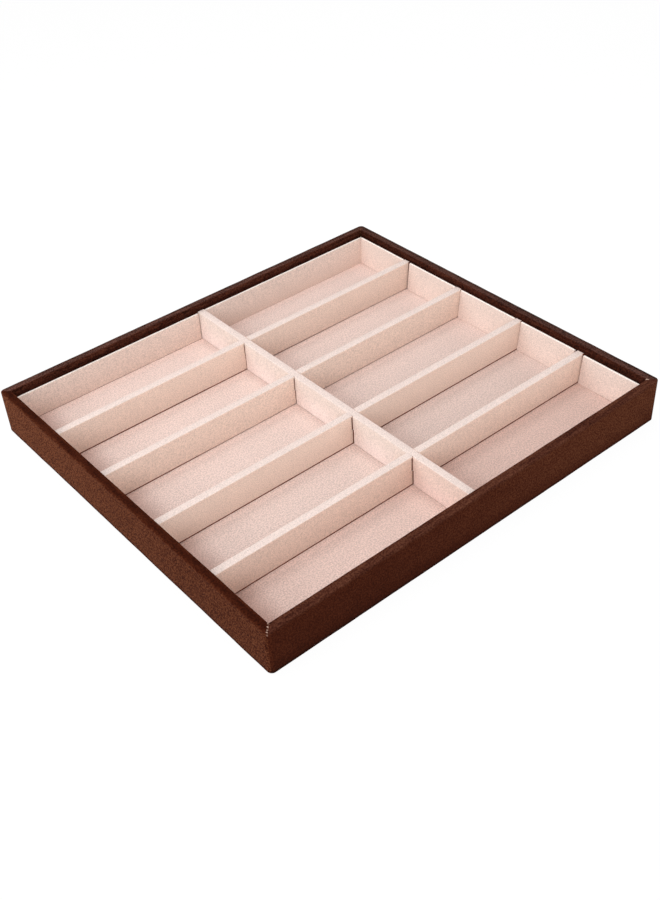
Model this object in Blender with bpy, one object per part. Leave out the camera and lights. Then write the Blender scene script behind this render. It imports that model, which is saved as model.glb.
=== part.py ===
"""A shallow wrapped tray for sunglasses, with a lift-out grid of half-lapped dividers.

Metres, +Z up. The tray stands on z = 0 with its centre on the Z axis, its long side along X and its
front wall at -Y. Each wall is a board inside a folded strip of microfibre, and the strips meet in mitres
at the corners. Suede-faced card lines the floor and the walls. Four cross dividers have slots in their
top edges, and the long divider, slotted from below, drops over them.
"""

import math

import bmesh
import bpy
from mathutils import Matrix, Vector

# The finished tray from outside
TRAY_LENGTH = 0.350
TRAY_WIDTH = 0.317
TRAY_HEIGHT = 0.035

# Left between two pieces that touch, and how far a cutter runs past what it cuts
SEAT_GAP = 0.0003
CUT_OVERRUN = 0.003

# Boards of the shell: the base board lies in a rebate along the foot of the wall boards
WALL_BOARD_THICKNESS = 0.0049
BASE_BOARD_THICKNESS = 0.0018
BASE_REBATE_DEPTH = 0.0022
BOARD_CORNER_RADIUS = 0.0028
BOARD_EDGE_RADIUS = 0.0004

# Microfibre strip round each wall board, turned in under the base
WRAP_THICKNESS = 0.0005
WRAP_TURN_IN = 0.013
WRAP_SEAM_GAP = 0.0003

# Sheet that hides the turned-in edges
UNDERSIDE_COVER_THICKNESS = 0.0004
UNDERSIDE_COVER_INSET = 0.0045

# Suede-faced card on the floor and the walls, and how far below the rim the insert ends
FLOOR_PAD_THICKNESS = 0.0013
LINER_THICKNESS = 0.0016
CARD_EDGE_RADIUS = 0.0004
INSERT_DROP = 0.0056

# Dividers: a core board in a folded suede cover, and the room round them in slots and between liners.
# The long divider stands a little to the left of the middle.
DIVIDER_THICKNESS = 0.0060
LONG_DIVIDER_X = -0.0014
DIVIDER_COVER_THICKNESS = 0.0005
CORE_EDGE_RADIUS = 0.0005
LAP_CLEARANCE = 0.0004
LINER_END_GAP = 0.0004
HALF_LAP_SHARE = 0.5

# Clear widths of the rows from front to back, in proportion
ROW_WIDTH_SHARES = (0.195, 0.199, 0.212, 0.199, 0.195)

# Straight steps in a right-angled fold and in a rounded upright corner
FOLD_STEPS = 4
CORNER_STEPS = 6

# Heights above the ground
WRAP_FOOT_Z = UNDERSIDE_COVER_THICKNESS + SEAT_GAP
BOARD_FOOT_Z = WRAP_FOOT_Z + WRAP_THICKNESS + SEAT_GAP
FLOOR_PAD_FOOT_Z = BOARD_FOOT_Z + BASE_BOARD_THICKNESS + SEAT_GAP
INSERT_FOOT_Z = FLOOR_PAD_FOOT_Z + FLOOR_PAD_THICKNESS + SEAT_GAP
INSERT_TOP_Z = TRAY_HEIGHT - INSERT_DROP
BOARD_TOP_Z = TRAY_HEIGHT - WRAP_THICKNESS - SEAT_GAP

# Insets from the outside of the tray
BOARD_INSET = WRAP_THICKNESS + SEAT_GAP
BOARD_BACK_INSET = BOARD_INSET + WALL_BOARD_THICKNESS
WALL_FACE_INSET = BOARD_BACK_INSET + SEAT_GAP + WRAP_THICKNESS
INSERT_INSET = WALL_FACE_INSET + SEAT_GAP
LINER_FACE_INSET = INSERT_INSET + LINER_THICKNESS
BASE_BOARD_INSET = BOARD_BACK_INSET - BASE_REBATE_DEPTH + SEAT_GAP

# Fabric folds round a board's own radius at the seat gap
WRAP_FOLD_RADIUS = BOARD_EDGE_RADIUS + SEAT_GAP
WRAP_CORNER_RADIUS = BOARD_CORNER_RADIUS + SEAT_GAP + WRAP_THICKNESS
COVER_FOLD_RADIUS = CORE_EDGE_RADIUS + SEAT_GAP

# Heights above the foot of the dividers
DIVIDER_HEIGHT = INSERT_TOP_Z - INSERT_FOOT_Z
CORE_HEIGHT = DIVIDER_HEIGHT - DIVIDER_COVER_THICKNESS - SEAT_GAP
LAP_HEIGHT = HALF_LAP_SHARE * DIVIDER_HEIGHT

# Each wall's turn about Z from the front wall, its half length, and its distance from the centre
WALLS = {
    "front": (0, TRAY_LENGTH / 2, TRAY_WIDTH / 2),
    "right": (math.pi / 2, TRAY_WIDTH / 2, TRAY_LENGTH / 2),
    "back": (math.pi, TRAY_LENGTH / 2, TRAY_WIDTH / 2),
    "left": (-math.pi / 2, TRAY_WIDTH / 2, TRAY_LENGTH / 2),
}

# Displayed base colour, each channel from 0 to 255, and roughness
FINISHES = {
    "microfibre": ((84, 47, 35), 0.95),
    "suede": ((232, 205, 192), 0.92),
    "floor_suede": ((214, 186, 174), 0.94),
    "fibreboard": ((176, 140, 100), 0.80),
    "greyboard": ((168, 160, 148), 0.85),
    "underside_felt": ((58, 36, 29), 0.95),
}


def clear_scene():
    for obj in list(bpy.data.objects):
        bpy.data.objects.remove(obj, do_unlink=True)


def linear(channel):
    """A displayed colour channel, from 0 to 255, as the linear value that a shader takes."""
    share = channel / 255
    return share / 12.92 if share <= 0.04045 else ((share + 0.055) / 1.055) ** 2.4


def finish(name):
    """The material of this name, made when it is first asked for."""
    if name in bpy.data.materials:
        return bpy.data.materials[name]
    colour, roughness = FINISHES[name]
    material = bpy.data.materials.new(name)
    material.use_nodes = True
    shader = material.node_tree.nodes["Principled BSDF"]
    shader.inputs["Base Color"].default_value = (*map(linear, colour), 1)
    shader.inputs["Roughness"].default_value = roughness
    shader.inputs["Metallic"].default_value = 0
    material.diffuse_color = (*map(linear, colour), 1)
    return material


def group_empty(name, location=(0, 0, 0), parent=None):
    """An empty on the upright line along which the pieces that it carries lift as one."""
    empty = bpy.data.objects.new(name, None)
    bpy.context.scene.collection.objects.link(empty)
    empty.parent = parent
    empty.location = location
    return empty


def to_object(bm, name, parent, location=(0, 0, 0), turn=0):
    bmesh.ops.recalc_face_normals(bm, faces=bm.faces)
    mesh = bpy.data.meshes.new(name)
    bm.to_mesh(mesh)
    bm.free()
    obj = bpy.data.objects.new(name, mesh)
    bpy.context.scene.collection.objects.link(obj)
    obj.parent = parent
    obj.location = Vector(location)
    obj.rotation_euler.z = turn
    return obj


def piece(bm, name, parent, finish_name, location=(0, 0, 0), turn=0):
    """A named sub-part with its finish. The location is in its parent's frame."""
    obj = to_object(bm, name, parent, location, turn)
    obj.data.shade_smooth()
    obj.data.set_sharp_from_angle(angle=math.radians(30))
    obj.data.materials.append(finish(finish_name))
    return obj


def cutter(bm, name, parent, location=(0, 0, 0)):
    obj = to_object(bm, name, parent, location)
    obj.hide_render = True
    obj.display_type = "WIRE"
    return obj


def cut_away(obj, tool):
    modifier = obj.modifiers.new(tool.name, "BOOLEAN")
    modifier.operation = "DIFFERENCE"
    modifier.solver = "EXACT"
    modifier.object = tool


def filleted(corners, steps, closed=False):
    """Points of a path through (u, v, radius) corners. A right-angled corner with a radius gets an arc."""
    points = []
    for index, (u, v, radius) in enumerate(corners):
        corner = Vector((u, v))
        is_end = not closed and index in (0, len(corners) - 1)
        if is_end or not radius:
            points.append(corner)
            continue
        back = (Vector(corners[index - 1][:2]) - corner).normalized()
        ahead = (Vector(corners[(index + 1) % len(corners)][:2]) - corner).normalized()
        centre = corner + radius * (back + ahead)
        for step in range(steps + 1):
            angle = math.pi / 2 * step / steps
            points.append(centre - radius * (ahead * math.cos(angle) + back * math.sin(angle)))
    return points


def folded_sheet(path, thickness, inner_radius):
    """Section of a sheet whose outside follows (u, v) corners with left turns. It lies left of the path."""
    lefts = [(Vector(end) - Vector(start)).orthogonal().normalized() for start, end in zip(path, path[1:])]
    outside = [(*corner, inner_radius + thickness) for corner in path]
    inside = []
    for index, corner in enumerate(path):
        shift = thickness * sum(lefts[max(index - 1, 0) : index + 1], Vector((0, 0)))
        inside.append((*(Vector(corner) + shift), inner_radius))
    return filleted(outside, FOLD_STEPS) + filleted(inside, FOLD_STEPS)[::-1]


def extruded(points, along):
    """A closed loop of points made solid by extruding its face."""
    bm = bmesh.new()
    face = bm.faces.new([bm.verts.new(point) for point in points])
    moved = bmesh.ops.extrude_face_region(bm, geom=[face])["geom"]
    far_end = [item for item in moved if isinstance(item, bmesh.types.BMVert)]
    bmesh.ops.translate(bm, verts=far_end, vec=along)
    return bm


def ease_edges(bm, height, radius):
    """Rounds the edges that lie at one height."""
    near = radius / 2
    level = [edge for edge in bm.edges if all(abs(vert.co.z - height) < near for vert in edge.verts)]
    bmesh.ops.bevel(bm, geom=level, offset=radius, segments=2, profile=0.5, affect="EDGES")


def slab(plan, foot, top, edge_radius=0):
    """An upright solid over a closed plan of (x, y, radius) corners, with its top edges eased."""
    outline = [(*point, foot) for point in filleted(plan, CORNER_STEPS, closed=True)]
    bm = extruded(outline, Vector((0, 0, top - foot)))
    if edge_radius:
        ease_edges(bm, top, edge_radius)
    return bm


def rectangle(half_x, half_y, radius=0):
    signs = ((-1, -1), (1, -1), (1, 1), (-1, 1))
    return [(x_sign * half_x, y_sign * half_y, radius) for x_sign, y_sign in signs]


def inset_rectangle(inset, radius=0):
    return rectangle(TRAY_LENGTH / 2 - inset, TRAY_WIDTH / 2 - inset, radius)


def wall_place(wall):
    """Location and turn of a wall's own frame: x along the wall, y inwards from its outer face."""
    turn, _, distance = WALLS[wall]
    return Matrix.Rotation(turn, 3, "Z") @ Vector((0, -distance, 0)), turn


def make_wall_board(wall, tray, base_seat):
    """Front and back boards run through with rounded ends, and the side boards stand between them."""
    runs_through = wall in ("front", "back")
    reach = WALLS[wall][1] - (BOARD_INSET if runs_through else BOARD_BACK_INSET + SEAT_GAP)
    radius = BOARD_CORNER_RADIUS if runs_through else 0
    plan = [
        (-reach, BOARD_INSET, radius),
        (reach, BOARD_INSET, radius),
        (reach, BOARD_BACK_INSET, 0),
        (-reach, BOARD_BACK_INSET, 0),
    ]
    bm = slab(plan, BOARD_FOOT_Z, BOARD_TOP_Z, BOARD_EDGE_RADIUS)
    ease_edges(bm, BOARD_FOOT_Z, BOARD_EDGE_RADIUS)
    board = piece(bm, f"{wall}_wall_board", tray, "fibreboard", *wall_place(wall))
    cut_away(board, base_seat)


def wrap_section():
    """The strip's (inset, z) section: up the inside of the wall, over the rim, down the outside and under."""
    path = [
        (WALL_FACE_INSET, FLOOR_PAD_FOOT_Z),
        (WALL_FACE_INSET, TRAY_HEIGHT),
        (0, TRAY_HEIGHT),
        (0, WRAP_FOOT_Z),
        (WRAP_TURN_IN, WRAP_FOOT_Z),
    ]
    return folded_sheet(path, WRAP_THICKNESS, WRAP_FOLD_RADIUS)


def half_run(half_length, inset):
    """Plan points of the strip at one inset, round half of the upright corner to the mitre."""
    reach = max(WRAP_CORNER_RADIUS, inset)
    radius = reach - inset
    points = []
    for step in range(CORNER_STEPS + 1):
        angle = math.pi / 4 * step / CORNER_STEPS
        points.append((half_length - reach + radius * math.sin(angle), reach - radius * math.cos(angle)))
    return points


def trim_mitre(bm, half_length, side):
    """Cuts one end of a strip on the corner's diagonal, half a seam short of it, and closes the cut."""
    outward = Vector((side, 1, 0)).normalized()
    point = Vector((side * half_length, 0, 0)) - WRAP_SEAM_GAP / 2 * outward
    geometry = [*bm.verts, *bm.edges, *bm.faces]
    bmesh.ops.bisect_plane(bm, geom=geometry, plane_co=point, plane_no=outward, clear_outer=True)
    bmesh.ops.holes_fill(bm, edges=[edge for edge in bm.edges if edge.is_boundary])


def make_wrap(wall, tray):
    """Carries the strip's section along one wall and round both corners as far as the mitres."""
    half_length = WALLS[wall][1]
    bm = bmesh.new()
    rows = []
    for inset, z in wrap_section():
        run = half_run(half_length, inset)
        run = [(-x, y) for x, y in reversed(run)] + run
        rows.append([bm.verts.new((x, y, z)) for x, y in run])
    for row, after in zip(rows, rows[1:] + rows[:1]):
        for corners in zip(row, row[1:], after[1:], after):
            bm.faces.new(corners)
    bmesh.ops.remove_doubles(bm, verts=bm.verts, dist=SEAT_GAP / 100)
    for side in (-1, 1):
        trim_mitre(bm, half_length, side)
    piece(bm, f"{wall}_wrap", tray, "microfibre", *wall_place(wall))


def make_shell(tray):
    """The boards, the strips round them, and the two sheets that close the tray's underside."""
    seat_plan = inset_rectangle(BASE_BOARD_INSET - SEAT_GAP)
    base_seat = cutter(slab(seat_plan, BOARD_FOOT_Z - CUT_OVERRUN, FLOOR_PAD_FOOT_Z), "base_seat", tray)
    for wall in WALLS:
        make_wall_board(wall, tray, base_seat)
        make_wrap(wall, tray)
    base = slab(inset_rectangle(BASE_BOARD_INSET), BOARD_FOOT_Z, BOARD_FOOT_Z + BASE_BOARD_THICKNESS)
    piece(base, "base_board", tray, "fibreboard")
    cover_plan = inset_rectangle(UNDERSIDE_COVER_INSET, WRAP_CORNER_RADIUS)
    piece(slab(cover_plan, 0, UNDERSIDE_COVER_THICKNESS), "underside_cover", tray, "underside_felt")


def row_spans():
    """The start and end of each row between the cross dividers, from the front liner to the back one."""
    reach = TRAY_WIDTH / 2 - LINER_FACE_INSET
    clear = 2 * reach - DIVIDER_THICKNESS * (len(ROW_WIDTH_SHARES) - 1)
    spans = []
    start = -reach
    for share in ROW_WIDTH_SHARES:
        end = start + clear * share / sum(ROW_WIDTH_SHARES)
        spans.append((start, end))
        start = end + DIVIDER_THICKNESS
    return spans


def make_liner(name, tray, x_span, y_span):
    """One upright card between two ends along X and two along Y."""
    half_x = (x_span[1] - x_span[0]) / 2
    half_y = (y_span[1] - y_span[0]) / 2
    centre = (sum(x_span) / 2, sum(y_span) / 2, INSERT_FOOT_Z)
    bm = slab(rectangle(half_x, half_y), 0, DIVIDER_HEIGHT, CARD_EDGE_RADIUS)
    piece(bm, name, tray, "suede", centre)


def make_linings(tray):
    """The floor pad, and a liner on each stretch of wall between two dividers."""
    pad = slab(inset_rectangle(INSERT_INSET), FLOOR_PAD_FOOT_Z, FLOOR_PAD_FOOT_Z + FLOOR_PAD_THICKNESS)
    piece(pad, "floor_pad", tray, "floor_suede")
    half_x = TRAY_LENGTH / 2 - INSERT_INSET
    half_y = TRAY_WIDTH / 2 - INSERT_INSET
    inner_end = DIVIDER_THICKNESS / 2 + LINER_END_GAP
    across = {"left": (-half_x, LONG_DIVIDER_X - inner_end), "right": (LONG_DIVIDER_X + inner_end, half_x)}
    along = {"front": (-half_y, LINER_THICKNESS - half_y), "back": (half_y - LINER_THICKNESS, half_y)}
    for side, x_span in across.items():
        for wall, y_span in along.items():
            make_liner(f"{wall}_liner_{side}", tray, x_span, y_span)
    edge = {"left": (-half_x, LINER_THICKNESS - half_x), "right": (half_x - LINER_THICKNESS, half_x)}
    for side, x_span in edge.items():
        for row, (start, end) in enumerate(row_spans(), 1):
            make_liner(f"{side}_liner_{row}", tray, x_span, (start + LINER_END_GAP, end - LINER_END_GAP))


def make_divider(name, parent, half_length, slots, location=(0, 0, 0), turn=0):
    """A core board and its cover, which is open below and at its ends, both cut by the same slots."""
    half_core = DIVIDER_THICKNESS / 2 - DIVIDER_COVER_THICKNESS - SEAT_GAP
    core = slab(rectangle(half_length, half_core), 0, CORE_HEIGHT, CORE_EDGE_RADIUS)
    half = DIVIDER_THICKNESS / 2
    path = [(half, 0), (half, DIVIDER_HEIGHT), (-half, DIVIDER_HEIGHT), (-half, 0)]
    section = folded_sheet(path, DIVIDER_COVER_THICKNESS, COVER_FOLD_RADIUS)
    cover = extruded([(-half_length, y, z) for y, z in section], Vector((2 * half_length, 0, 0)))
    layers = [
        piece(core, f"{name}_core", parent, "greyboard", location, turn),
        piece(cover, f"{name}_cover", parent, "suede", location, turn),
    ]
    for layer in layers:
        for slot in slots:
            cut_away(layer, slot)


def make_dividers(tray):
    """Cross dividers slotted from above, and the long divider, slotted from below, that laps over them."""
    grid = group_empty("divider_grid", (0, 0, INSERT_FOOT_Z), tray)
    long_divider = group_empty("long_divider", (LONG_DIVIDER_X, 0, 0), grid)
    half_slot = DIVIDER_THICKNESS / 2 + LAP_CLEARANCE
    slot_top = DIVIDER_HEIGHT + CUT_OVERRUN
    top_slot = slab(rectangle(half_slot, TRAY_WIDTH / 2), LAP_HEIGHT - SEAT_GAP / 2, slot_top)
    top_slot = cutter(top_slot, "cross_divider_slot", long_divider)
    foot_slots = []
    spans = row_spans()
    for number, (before, after) in enumerate(zip(spans, spans[1:]), 1):
        centre = (0, (before[1] + after[0]) / 2, 0)
        make_divider(f"cross_divider_{number}", grid, TRAY_LENGTH / 2 - INSERT_INSET, [top_slot], centre)
        foot_slot = slab(rectangle(DIVIDER_THICKNESS, half_slot), -CUT_OVERRUN, LAP_HEIGHT + SEAT_GAP / 2)
        foot_slots.append(cutter(foot_slot, f"long_divider_slot_{number}", long_divider, centre))
    half_length = TRAY_WIDTH / 2 - INSERT_INSET
    make_divider("long_divider", long_divider, half_length, foot_slots, turn=math.pi / 2)


def main():
    clear_scene()
    tray = group_empty("tray")
    make_shell(tray)
    make_linings(tray)
    make_dividers(tray)


main()
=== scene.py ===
"""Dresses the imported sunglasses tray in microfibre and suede, and sets it up for a product picture.

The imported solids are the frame. Here the fabric on them is made again with soft folds, raw edges and a
short pile, the boards inside get their own surfaces, and a floor, lamps and a camera are added. Lengths
are in metres, +Z is up, the front wall is at -Y and the long divider runs along Y.
"""

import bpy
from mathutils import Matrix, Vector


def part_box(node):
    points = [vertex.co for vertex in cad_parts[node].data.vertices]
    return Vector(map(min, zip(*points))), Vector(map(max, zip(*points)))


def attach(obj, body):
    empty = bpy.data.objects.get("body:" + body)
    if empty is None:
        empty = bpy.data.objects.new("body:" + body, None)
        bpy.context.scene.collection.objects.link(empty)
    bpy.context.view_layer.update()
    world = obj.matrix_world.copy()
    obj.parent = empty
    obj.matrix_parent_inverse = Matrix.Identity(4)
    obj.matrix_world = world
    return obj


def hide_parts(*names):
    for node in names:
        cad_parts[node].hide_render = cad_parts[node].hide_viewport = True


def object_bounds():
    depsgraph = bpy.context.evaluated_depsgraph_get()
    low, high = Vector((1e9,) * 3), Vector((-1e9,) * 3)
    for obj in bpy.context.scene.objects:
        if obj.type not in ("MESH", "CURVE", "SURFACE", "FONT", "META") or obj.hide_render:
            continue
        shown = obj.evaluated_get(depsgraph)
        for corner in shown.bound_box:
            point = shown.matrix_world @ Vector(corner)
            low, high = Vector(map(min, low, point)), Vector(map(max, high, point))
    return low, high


bl_info = {
    "name": "Sunglasses Tray",
    "version": (1, 0, 0),
    "blender": (4, 5, 0),
    "location": "3D View > Sidebar > Tray",
    "description": "Covers a packed sunglasses tray with microfibre and suede and stages it for a picture",
    "category": "Object",
}

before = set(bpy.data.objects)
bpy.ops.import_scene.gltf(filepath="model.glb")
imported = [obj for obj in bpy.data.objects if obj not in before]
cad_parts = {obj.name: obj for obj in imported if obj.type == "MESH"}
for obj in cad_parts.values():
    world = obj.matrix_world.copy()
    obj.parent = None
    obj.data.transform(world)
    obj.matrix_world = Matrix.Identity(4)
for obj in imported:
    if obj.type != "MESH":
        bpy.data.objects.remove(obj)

import math

import bmesh
import bpy
from mathutils import Vector

CAD_LOW, CAD_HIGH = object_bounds()

X, Y, Z = range(3)

# Each wall and the way inwards from it, along X and along Y
WALLS = {"front": (0, 1), "right": (-1, 0), "back": (0, -1), "left": (1, 0)}
CROSS_DIVIDERS = tuple(f"cross_divider_{number}" for number in range(1, 5))
SIDE_LINERS = tuple(f"{side}_liner_{row}" for side in ("left", "right") for row in range(1, 6))
END_LINERS = tuple(f"{wall}_liner_{side}" for wall in ("front", "back") for side in ("left", "right"))
DIVIDER_BODIES = {name: "divider_grid" for name in CROSS_DIVIDERS} | {"long_divider": "long_divider"}

# Heights, insets and places that the frame's nodes give
WRAP_LOW, WRAP_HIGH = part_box("front_wrap")
LINER_LOW, LINER_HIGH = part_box("front_liner_left")
FLOOR_LOW, FLOOR_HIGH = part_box("floor_pad")
CROSS_LOW, CROSS_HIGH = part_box("cross_divider_1_cover")
LONG_LOW, LONG_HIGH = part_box("long_divider_cover")
STRIP_TURN_IN = WRAP_HIGH.y - WRAP_LOW.y
LINER_INSET = LINER_LOW.y - CAD_LOW.y
LAP_HEIGHT = (LONG_LOW.z + LONG_HIGH.z) / 2
CROSS_FACES = [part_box(f"{cross}_cover")[0].y for cross in CROSS_DIVIDERS]
BACK_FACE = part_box("back_liner_left")[0].y

# Straight steps in a rounded upright corner and in a fold, and the length of a step along a piece
CORNER_STEPS = 10
FOLD_STEPS = 5
STEP_LENGTH = 0.004

# How close points are when they are one point, also on an inset corner's arc, and when edges run one way
MERGE_DISTANCE = 0.0001
ARC_MERGE_DISTANCE = 0.0003
ALIGNED = 0.99
SMOOTH_ANGLE = math.radians(40)

# Sizes of the spots in each fabric's and board's pattern
NAP_GRAIN = 0.0012
NAP_MOTTLE = 0.009
NAP_STREAK = 0.0026
FRAY_GRAIN = 0.0012
WEAVE = 0.0004
PILE_GRAIN = 0.0008
PILE_BRUSH = 0.0032
PILE_CLOUD = 0.016
FLOOR_TUFT = 0.0010
FLOOR_GRAIN = 0.0016
WIDE_CLOUD = 0.02
BOARD_FIBRE = 0.0016
BOARD_SPECK = 0.0008
FELT_FIBRE = 0.0012

# From what to what value of its noise a pattern goes from dark to light
GRAIN_RANGE = (0.36, 0.64)
STREAK_RANGE = (0.3, 0.7)
FLECK_RANGE = (0.53, 0.63)
TUFT_RANGE = (0.33, 0.67)
SPECK_RANGE = (0.62, 0.7)

# The least tone of the nap, and from what to what tone it changes from its deep colour to its light one
NAP_DARKEST = 0.03
NAP_RANGE = (0.3, 1.4)

# How deep the patterns' bumps are, and from what to what roughness they take a surface
NAP_DEPTH = 0.0002
TUFT_DEPTH = 0.0003
FIBRE_DEPTH = 0.0001
NAP_ROUGHNESS = (0.86, 0.98)
PILE_ROUGHNESS = (0.88, 0.98)
BOARD_ROUGHNESS = (0.78, 0.93)

# Where the light and shade painted on a strip changes: in from the wall's outer face, down from the rim, up
# from the table and along the wall. The deep fold is where the strip goes down behind a liner, and is
# painted darker.
RIM_EDGE = (0.0020, 0.0034)
DEEP_INSET = 0.0004
DEEP_DROP = (0.0028, 0.0040)
STRIP_FOOT = (0.0018, 0.0034)
STRIP_LOW = (0.004, 0.014)
DRIFT_REACH = (-0.12, 0.16)

# How far from a mitre its flecks reach, and how far in the fleck at the inner end of the right one starts
FRAY_REACH = (0.0004, 0.0010)
FRAY_INNER_END = (0.0053, 0.0058)

# Where the suede's painted light and shade changes from foot to head, and with the lean of its normal from
# face to edge, where painted light on the faces that look up takes over
PILE_REACH = (0.006, 0.026)
EDGE_TURN = (0.7, 0.95)
CREST_TURN = (0.2, 0.6)

# How blurred the ends of a band of brown painted shade are, and how far a band at a slit starts before and
# ends behind it
BAND_BLUR = 0.0001
SLIT_START = 0.0002
SLIT_DEPTH = 0.001

# Where the painted light of the long divider and of the side liners changes along Y, and where the brown
# painted shade at the feet of the two farther cross dividers fades along X
LONG_LIGHT_REACH = (-0.14, -0.06)
SIDE_LIGHT_REACH = (0.08, 0.12)
THIRD_FADE = (-0.13, -0.05)
FOURTH_FADE = (-0.06, 0.15)
ROW_BLUR = 0.005

# Where the floor's painted light and shade changes: along X at the left wall, over the left half, past the
# long divider and at the right end, along Y from row to row, and how far the painted light reaches before a
# divider
SHADED_LEFT = (-0.162, -0.134)
LEFT_HALF = (-0.1, -0.02)
SHADED_MIDDLE = (0.024, 0.040)
RIGHT_END = (0.105, 0.150)
FLOOR_ROWS = (-0.1, 0.06)
DIVIDER_LIGHT_REACH = 0.008

# How much brown painted shadow the floor takes at the left wall and past the long divider
LEFT_SHADE = 0.55
MIDDLE_SHADE = 0.12


def shown(red, green, blue):
    """A displayed colour from 0 to 255 a channel, as a colour property keeps it."""
    return red / 255, green / 255, blue / 255


def linear(colour):
    """A colour property as the linear colour that a shader takes."""
    return tuple(c / 12.92 if c <= 0.04045 else ((c + 0.055) / 1.055) ** 2.4 for c in colour)


def length(name, default, description):
    return bpy.props.FloatProperty(
        name=name, default=default, description=description, min=0, precision=5, unit="LENGTH"
    )


def colour(name, default, description):
    return bpy.props.FloatVectorProperty(
        name=name, default=default, description=description, subtype="COLOR_GAMMA", size=3, min=0, max=1
    )


class TrayCloth(bpy.types.PropertyGroup):
    """Sizes of the fabric and of how it lies on the boards."""

    thickness: length("Fabric", 0.0005, "Thickness of the microfibre and of the suede on the dividers")
    seat_gap: length("Seat gap", 0.0003, "Left between two pieces that touch")
    seam: length("Mitre seam", 0.00015, "Left between two strips where they meet in a mitre")
    foot: length("Strip foot", 0.0004, "Height of the strips' turned-in margins over the table")
    rim_fold: length("Rim fold", 0.0005, "Outer radius of the microfibre where it folds over the rim")
    foot_fold: length("Foot fold", 0.0002, "Outer radius of the microfibre where it folds under the walls")
    corner: length("Upright corner", 0.0036, "Outer radius of the tray's upright corners")
    cover_fold: length("Divider fold", 0.0006, "Outer radius of the suede where it folds over a divider")
    pad_edge: length("Pad edge", 0.0003, "Radius of the floor pad's top edges")
    liner_edge: length("Liner edge", 0.0007, "Radius of a liner's top edges")
    liner_drop: length("Liner drop", 0.0002, "How much nearer to the floor a leaning liner reaches")
    cross_lift: length("Cross cover lift", 0.0002, "How far above a cross divider's foot its suede ends")
    # How far up from its lower end a cross divider's suede is painted brown, as shade in the gap under it.
    raw_foot: length("Raw foot", 0.0003, "How far up from its cut foot a cross divider's suede is brown")
    lap_gap: length("Lap gap", 0.0006, "Room on the near side of a divider in a half-lap slot")
    lap_touch: length("Lap touch", 0.0002, "Room on its far side, where it leans, and at the top of a slot")
    lap_lip: length("Lap lip", 0.0012, "Height at the top of a slot over which its edge lies close")
    ripple: length("Ripple", 0.00025, "How far the fabric's surface wanders in and out")
    ripple_size: length("Ripple size", 0.018, "Distance over which that happens")
    taut: bpy.props.FloatProperty(
        name="Taut share", default=0.6, description="Share of the ripple that suede on a card keeps", min=0
    )


class TrayColours(bpy.types.PropertyGroup):
    """Displayed colours of the fabrics and boards, and of the light and shade painted on them."""

    # The next two colours are the nap where its painted light is high and where it is low, in painted shade
    # and darker grain.
    microfibre: colour("Microfibre", shown(82, 46, 29), "Brown nap that leans towards the light")
    microfibre_deep: colour("Deep microfibre", shown(82, 32, 16), "The same nap where it leans away")
    # A paler, greyer brown painted on the rims of the right and back walls, and a little on the front's.
    microfibre_dust: colour("Rubbed microfibre", shown(82, 53, 46), "The same nap where a rim is rubbed")
    microfibre_back: colour("Microfibre backing", shown(205, 175, 158), "Woven backing at a raw edge")
    # The change from each foot colour to its head colour is painted light and shade: darker low down on the
    # cross dividers, lighter low down on the long divider and the side liners.
    cross_foot: colour("Cross suede foot", shown(234, 212, 199), "Pale pile low on the cross dividers")
    cross_head: colour("Cross suede head", shown(241, 218, 204), "The same pile at their top")
    long_foot: colour("Long suede foot", shown(245, 229, 224), "Pale pile low on the long divider")
    long_head: colour("Long suede head", shown(232, 217, 208), "The same pile at its top")
    # Painted light: the colour that the divider suede's faces take where they look up.
    suede_edge: colour("Suede edge", shown(231, 212, 204), "Their pile where it stands up over an edge")
    end_liner: colour("End liner suede", shown(234, 213, 202), "Pale pile on the front and back liners")
    side_liner_foot: colour("Side liner foot", shown(238, 218, 209), "Pale pile low on the side liners")
    side_liner_head: colour("Side liner head", shown(227, 208, 198), "The same pile at their top")
    # Painted highlight: the colour of the liners' rounded top edges.
    liner_crest: colour("Liner crest", shown(250, 238, 230), "The liners' pile along their top edges")
    # Painted shade: the brown of the gaps at the cross dividers' feet, of the slits, and of the floor's
    # painted shadows.
    suede_shade: colour("Suede shade", shown(128, 66, 44), "Brown of its raw foot and of the slits")
    suede_floor: colour("Floor suede", shown(226, 204, 196), "Grainy pile on the floor pad")
    # Painted light reflected from the brown front wall onto the suede in the row next to it.
    front_tint: colour("Front tint", shown(255, 246, 243), "What the front wall's brown makes of white")
    # The divider board is real; its dark brown is painted shade for the gaps where it shows under and beside
    # the dividers.
    core: colour("Divider board", shown(48, 27, 18), "Dark pressed board inside the dividers")
    board: colour("Wall board", shown(176, 140, 100), "Fibreboard of the walls and the base")
    felt: colour("Underside felt", shown(58, 36, 29), "Thin felt on the underside")


class TrayStage(bpy.types.PropertyGroup):
    """The camera, the lamps and the floor."""

    place: bpy.props.FloatVectorProperty(
        name="Camera place",
        default=(-0.40909, -0.5259, 0.5196),
        description="Where the picture is taken from",
        unit="LENGTH",
    )
    turn: bpy.props.FloatVectorProperty(
        name="Camera turn",
        default=tuple(map(math.radians, (50.6953, 2.6832, -40.1901))),
        description="The camera's Euler angles",
        subtype="EULER",
    )
    lens: bpy.props.FloatProperty(
        name="Lens", default=46.141, description="Focal length in millimetres on a 36 mm frame", min=1
    )
    lamps: bpy.props.FloatProperty(
        name="Lamps", default=1.0, description="Share of the lamps' watts", min=0
    )
    fill: bpy.props.FloatProperty(name="Fill", default=0.24, description="Strength of the sky", min=0)
    floor: length("Floor", 12.0, "Length of a side of the floor")
    floor_glow: bpy.props.FloatProperty(
        name="Floor glow", default=0.93, description="Share of plain white in the floor as it is seen", min=0
    )
    floor_white: bpy.props.FloatProperty(
        name="Floor white", default=1.03, description="Strength of that white", min=0
    )


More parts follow.
